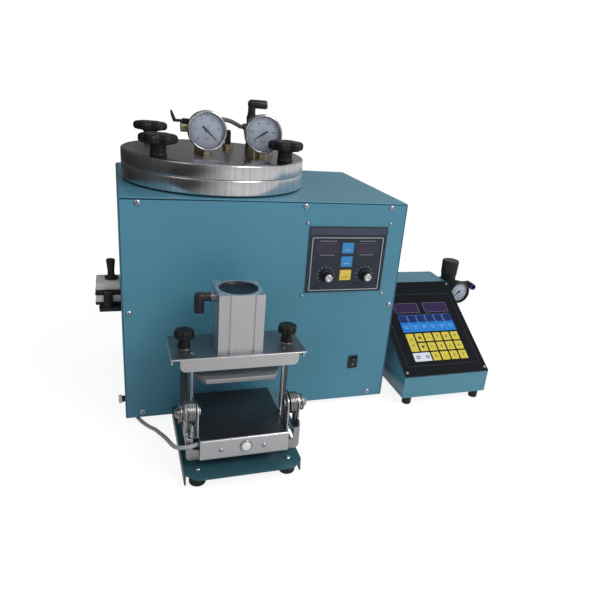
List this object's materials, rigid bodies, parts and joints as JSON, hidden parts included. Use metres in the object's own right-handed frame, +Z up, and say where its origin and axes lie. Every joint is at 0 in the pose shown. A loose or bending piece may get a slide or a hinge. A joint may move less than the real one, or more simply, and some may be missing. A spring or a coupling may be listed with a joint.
{
  "type": "jewelry wax injector",
  "caption": "Bench vacuum wax injector: heated tank under a gauge lid in a sheet-metal cabinet, a pneumatic mould clamp at its nozzle and a sloping keypad console.",
  "frame": {"origin": "bottom centre of the whole set, on the bench", "axes": "+X along the row of cabinet and console, to the right seen from the front; +Y towards the back; +Z up"},
  "size_m": [0.6892, 0.461, 0.4453],
  "materials": {
    "cabinet_paint": "satin",
    "cabinet_sheet": "satin",
    "console_paint": "satin",
    "rubber": "matt",
    "screw_steel": "bright",
    "dark_face": "matt",
    "window_film": "dark glossy film",
    "key_film": "printed film",
    "black_plastic": "matt",
    "knob_cap": "black with a silver cap",
    "electrics": "boards and transformer",
    "machined_aluminium": "turned",
    "lid_aluminium": "turned",
    "heater": "heater mat",
    "seal": "matt",
    "steel": "bright",
    "brass": "bright",
    "nickel": "nickel plated",
    "chrome": "polished",
    "dial": "printed dial",
    "needle": "black",
    "hose_braid": "braided",
    "spring": "wire",
    "carriage_metal": "anodised",
    "tray_steel": "mirror polished",
    "button": "white",
    "switch": "black",
    "bridge_steel": "brushed",
    "cylinder_body": "anodised",
    "elbow": "black with a pale ring",
    "cable": "grey PVC",
    "base_paint": "satin"
  },
  "bodies": {
    "cabinet": {"wrap_cover": "cabinet_paint", "front_panel": "cabinet_paint", "chassis": "cabinet_sheet", "rubber_feet": "rubber", "panel_screws": "screw_steel", "control_faces": "dark_face", "display_windows": "window_film", "film_keys": "key_film", "electrics": "electrics", "rocker_bezel": "black_plastic", "wax_tank": "machined_aluminium", "tank_ring": "machined_aluminium", "tank_heater": "heater", "tank_seals": "seal", "lid_studs": "steel", "nozzle_block": "brass", "side_blocks": "nickel", "rear_ports": "black_plastic", "clamp_base": "base_paint", "slide_rails": "steel", "controller_case": "console_paint", "regulator_body": "black_plastic", "line_gauge": "chrome", "button_cable": "cable"},
    "pot_left": {"pot_knob_left": "knob_cap"},
    "pot_right": {"pot_knob_right": "knob_cap"},
    "rocker": {"power_rocker": "black_plastic"},
    "nozzle": {"nozzle_tip": "brass"},
    "side_handle": {"side_handle": "black_plastic"},
    "side_knob": {"side_knob": "black_plastic"},
    "regulator_knob": {"regulator_knob": "black_plastic"},
    "line_needle": {"line_needle": "needle"},
    "regulator_elbow": {"regulator_elbow": "elbow"},
    "lid": {"lid_disc": "lid_aluminium", "gauge_cases": "chrome", "gauge_dials": "dial", "lid_metal_fittings": "brass", "lid_valves": "black_plastic", "lid_hose": "hose_braid"},
    "lid_knob_front_left": {"lid_knob_front_left": "black_plastic"},
    "lid_knob_front_right": {"lid_knob_front_right": "black_plastic"},
    "lid_knob_back_left": {"lid_knob_back_left": "black_plastic"},
    "lid_knob_back_right": {"lid_knob_back_right": "black_plastic"},
    "left_needle": {"left_needle": "needle"},
    "right_needle": {"right_needle": "needle"},
    "vent_lever": {"vent_lever": "black_plastic"},
    "lid_elbow": {"lid_elbow": "elbow"},
    "carriage": {"carriage": "carriage_metal", "carriage_pins": "steel", "torsion_springs": "spring"},
    "tray": {"tray": "tray_steel", "button_switch": "switch"},
    "start_button": {"start_button": "button"},
    "bridge": {"bridge_plate": "bridge_steel", "clamp_cylinder": "cylinder_body", "guide_rods": "steel"},
    "cylinder_elbow": {"cylinder_elbow": "elbow"},
    "press": {"press_plate": "machined_aluminium"},
    "height_knob_left": {"height_knob_left": "black_plastic"},
    "height_knob_right": {"height_knob_right": "black_plastic"}
  },
  "joints": [
    {"name": "lid_lift", "type": "slide", "parent": "cabinet", "child": "lid", "axis": [0, 0, 1], "range_m": [0, 0.12]},
    {"name": "knob_turn_front_left", "type": "hinge", "parent": "lid", "child": "lid_knob_front_left", "pos_m": [-0.25756, -0.00407, 0.389], "axis": [0, 0, 1], "range_deg": [0, 1080]},
    {"name": "knob_turn_front_right", "type": "hinge", "parent": "lid", "child": "lid_knob_front_right", "pos_m": [-0.08564, -0.00407, 0.389], "axis": [0, 0, 1], "range_deg": [0, 1080]},
    {"name": "knob_turn_back_left", "type": "hinge", "parent": "lid", "child": "lid_knob_back_left", "pos_m": [-0.25756, 0.15907, 0.389], "axis": [0, 0, 1], "range_deg": [0, 1080]},
    {"name": "knob_turn_back_right", "type": "hinge", "parent": "lid", "child": "lid_knob_back_right", "pos_m": [-0.08564, 0.15907, 0.389], "axis": [0, 0, 1], "range_deg": [0, 1080]},
    {"name": "left_needle_turn", "type": "hinge", "parent": "lid", "child": "left_needle", "pos_m": [-0.1901, 0.03363, 0.402], "axis": [0, -1, 0], "range_deg": [0, 270]},
    {"name": "right_needle_turn", "type": "hinge", "parent": "lid", "child": "right_needle", "pos_m": [-0.1106, 0.03363, 0.402], "axis": [0, -1, 0], "range_deg": [-270, 0]},
    {"name": "vent_turn", "type": "hinge", "parent": "lid", "child": "vent_lever", "pos_m": [-0.2156, 0.05813, 0.402], "axis": [0, 0, 1], "range_deg": [-90, 0]},
    {"name": "lid_elbow_turn", "type": "hinge", "parent": "lid", "child": "lid_elbow", "pos_m": [-0.1176, 0.0795, 0.439], "axis": [0, 0, 1], "continuous": true},
    {"name": "pot_left_turn", "type": "hinge", "parent": "cabinet", "child": "pot_left", "pos_m": [-0.0291, -0.0675, 0.219], "axis": [0, 1, 0], "range_deg": [-150, 150]},
    {"name": "pot_right_turn", "type": "hinge", "parent": "cabinet", "child": "pot_right", "pos_m": [0.0319, -0.0675, 0.219], "axis": [0, 1, 0], "range_deg": [-150, 150]},
    {"name": "rocker_tip", "type": "hinge", "parent": "cabinet", "child": "rocker", "pos_m": [0.0314, -0.0575, 0.073], "axis": [1, 0, 0], "range_deg": [-18, 0]},
    {"name": "nozzle_valve", "type": "slide", "parent": "cabinet", "child": "nozzle", "axis": [0, 1, 0], "range_m": [0, 0.0025], "stiffness_N_per_m": 2000, "springref_m": -0.002},
    {"name": "side_handle_turn", "type": "hinge", "parent": "cabinet", "child": "side_handle", "pos_m": [-0.3226, 0.0225, 0.2053], "axis": [0, 0, 1], "range_deg": [-540, 540]},
    {"name": "side_knob_turn", "type": "hinge", "parent": "cabinet", "child": "side_knob", "pos_m": [-0.3276, -0.0032, 0.169], "axis": [0, 0, 1], "range_deg": [-540, 540]},
    {"name": "regulator_turn", "type": "hinge", "parent": "cabinet", "child": "regulator_knob", "pos_m": [0.2914, 0.1125, 0.165], "axis": [0, 0, 1], "range_deg": [-540, 540]},
    {"name": "line_needle_turn", "type": "hinge", "parent": "cabinet", "child": "line_needle", "pos_m": [0.2914, 0.0735, 0.134], "axis": [0, -1, 0], "range_deg": [-270, 0]},
    {"name": "regulator_elbow_turn", "type": "hinge", "parent": "cabinet", "child": "regulator_elbow", "pos_m": [0.3384, 0.1125, 0.134], "axis": [1, 0, 0], "continuous": true},
    {"name": "clamp_feed", "type": "slide", "parent": "cabinet", "child": "carriage", "axis": [0, 1, 0], "range_m": [0, 0.018], "deforming": ["button_cable"]},
    {"name": "tray_tilt", "type": "hinge", "parent": "carriage", "child": "tray", "pos_m": [-0.1716, -0.1895, 0.091], "axis": [1, 0, 0], "range_deg": [-2, 3], "stiffness_Nm_per_rad": 8},
    {"name": "button_press", "type": "slide", "parent": "tray", "child": "start_button", "axis": [0, 1, 0], "range_m": [0, 0.0015], "stiffness_N_per_m": 800, "springref_m": -0.001},
    {"name": "bridge_lift", "type": "slide", "parent": "carriage", "child": "bridge", "axis": [0, 0, 1], "range_m": [0, 0.012]},
    {"name": "press_stroke", "type": "slide", "parent": "bridge", "child": "press", "axis": [0, 0, -1], "range_m": [0, 0.04]},
    {"name": "height_knob_left_turn", "type": "hinge", "parent": "bridge", "child": "height_knob_left", "pos_m": [-0.2386, -0.1375, 0.16], "axis": [0, 0, 1], "range_deg": [0, 720]},
    {"name": "height_knob_right_turn", "type": "hinge", "parent": "bridge", "child": "height_knob_right", "pos_m": [-0.1046, -0.1375, 0.16], "axis": [0, 0, 1], "range_deg": [0, 720]},
    {"name": "cylinder_elbow_turn", "type": "hinge", "parent": "bridge", "child": "cylinder_elbow", "pos_m": [-0.2201, -0.1345, 0.22], "axis": [1, 0, 0], "continuous": true}
  ]
}
